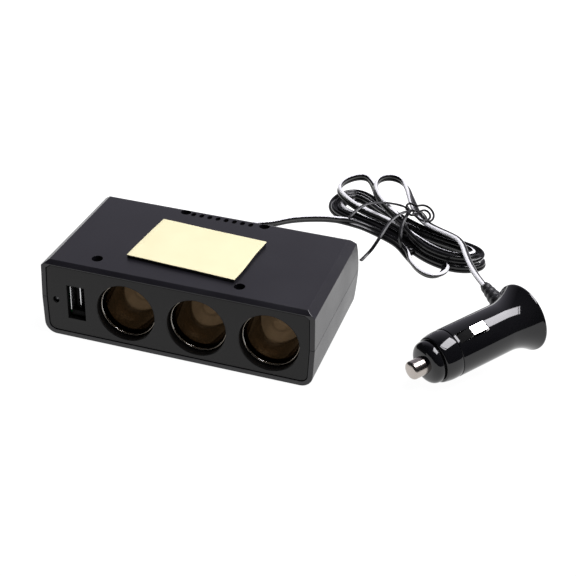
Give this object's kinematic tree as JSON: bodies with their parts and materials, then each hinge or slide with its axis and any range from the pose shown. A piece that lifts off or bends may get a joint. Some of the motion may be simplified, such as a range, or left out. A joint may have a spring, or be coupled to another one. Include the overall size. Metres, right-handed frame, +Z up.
{
  "type": "car power socket splitter",
  "caption": "Flat box with a row of lighter sockets and a USB port, an adhesive pad on top, and a tied flat cord that ends in a lighter plug with a spring tip and side contacts.",
  "frame": {"origin": "middle of the box, on the surface it stands on", "axes": "+Z up, +X to the right seen from the front, and the front panel with the sockets faces -Y"},
  "size_m": [0.1933, 0.1713, 0.0353],
  "materials": {
    "shell_plastic": "satin",
    "panel_plastic": "satin",
    "socket_metal": "satin",
    "contact_board": "matt",
    "contact_steel": "satin",
    "brass_strip": "satin",
    "wire_insulation": "satin",
    "usb_metal": "satin",
    "usb_plastic": "satin",
    "lamp_lens": "gloss",
    "board_green": "satin",
    "component_black": "satin",
    "capacitor_can": "satin",
    "screw_steel": "satin",
    "foam": "matt",
    "liner_paper": "satin",
    "strain_rubber": "satin",
    "cord_sheath": "satin",
    "tie_plastic": "satin",
    "plug_gloss": "gloss",
    "washer_rubber": "matt",
    "tip_metal": "satin",
    "fuse_clear": "gloss",
    "fuse_metal": "gloss",
    "side_contact_metal": "gloss"
  },
  "bodies": {
    "splitter": {"lower_shell": "shell_plastic", "upper_shell": "shell_plastic", "front_panel": "panel_plastic", "socket_barrel_1": "socket_metal", "socket_barrel_2": "socket_metal", "socket_barrel_3": "socket_metal", "contact_plate_1": "contact_board", "contact_plate_2": "contact_board", "contact_plate_3": "contact_board", "centre_contact_1": "contact_steel", "centre_contact_2": "contact_steel", "centre_contact_3": "contact_steel", "positive_strip": "brass_strip", "negative_strip": "brass_strip", "inner_wires": "wire_insulation", "usb_shell": "usb_metal", "usb_tongue": "usb_plastic", "indicator_lamp": "lamp_lens", "circuit_board": "board_green", "choke_coil": "component_black", "capacitors": "capacitor_can", "regulator_chip": "component_black", "diode": "component_black", "shell_screws": "screw_steel", "foam_pad": "foam", "release_liner": "liner_paper", "cord_grommet": "strain_rubber", "cord_lead": "cord_sheath", "cord_hank": "cord_sheath", "cord_tail": "cord_sheath", "twist_tie": "tie_plastic", "plug_body": "plug_gloss", "plug_front_ring": "plug_gloss", "plug_rear_cap": "plug_gloss", "plug_strain_relief": "strain_rubber", "fuse_spring": "screw_steel", "fuse_terminal": "brass_strip"},
    "cap_slide": {"cap_washer": "washer_rubber"},
    "screw_cap": {"nose_cap": "plug_gloss"},
    "tip": {"tip_pin": "tip_metal", "fuse_glass": "fuse_clear", "fuse_caps": "fuse_metal"},
    "upper_spring_strip": {"side_contact_upper": "side_contact_metal"},
    "lower_spring_strip": {"side_contact_lower": "side_contact_metal"}
  },
  "joints": [
    {"name": "cap_travel", "type": "slide", "parent": "splitter", "child": "cap_slide", "axis": [-0.6271, -0.7716, -0.1065], "range_m": [0, 0.003]},
    {"name": "cap_turn", "type": "hinge", "parent": "cap_slide", "child": "screw_cap", "pos_m": [0.0961, -0.01281, 0.00888], "axis": [-0.6271, -0.7716, -0.1065], "range_deg": [0, 1080]},
    {"name": "tip_press", "type": "slide", "parent": "screw_cap", "child": "tip", "axis": [0.6271, 0.7716, 0.1065], "range_m": [0, 0.002], "stiffness_N_per_m": 1500, "springref_m": -0.001, "deforming": ["fuse_spring"]},
    {"name": "upper_strip_flex", "type": "hinge", "parent": "splitter", "child": "upper_spring_strip", "pos_m": [0.11944, 0.01061, 0.01961], "axis": [0.7317, -0.5367, -0.4202], "range_deg": [0, 4.5], "stiffness_Nm_per_rad": 0.6, "springref_deg": -2.86},
    {"name": "lower_strip_flex", "type": "hinge", "parent": "splitter", "child": "lower_spring_strip", "pos_m": [0.11522, 0.016, 0.00537], "axis": [-0.7317, 0.5367, 0.4202], "range_deg": [0, 4.5], "stiffness_Nm_per_rad": 0.6, "springref_deg": -2.86}
  ],
  "couplings": [
    {"joint": "cap_turn", "follows": "cap_travel", "rad_per_m": 6283.2}
  ]
}
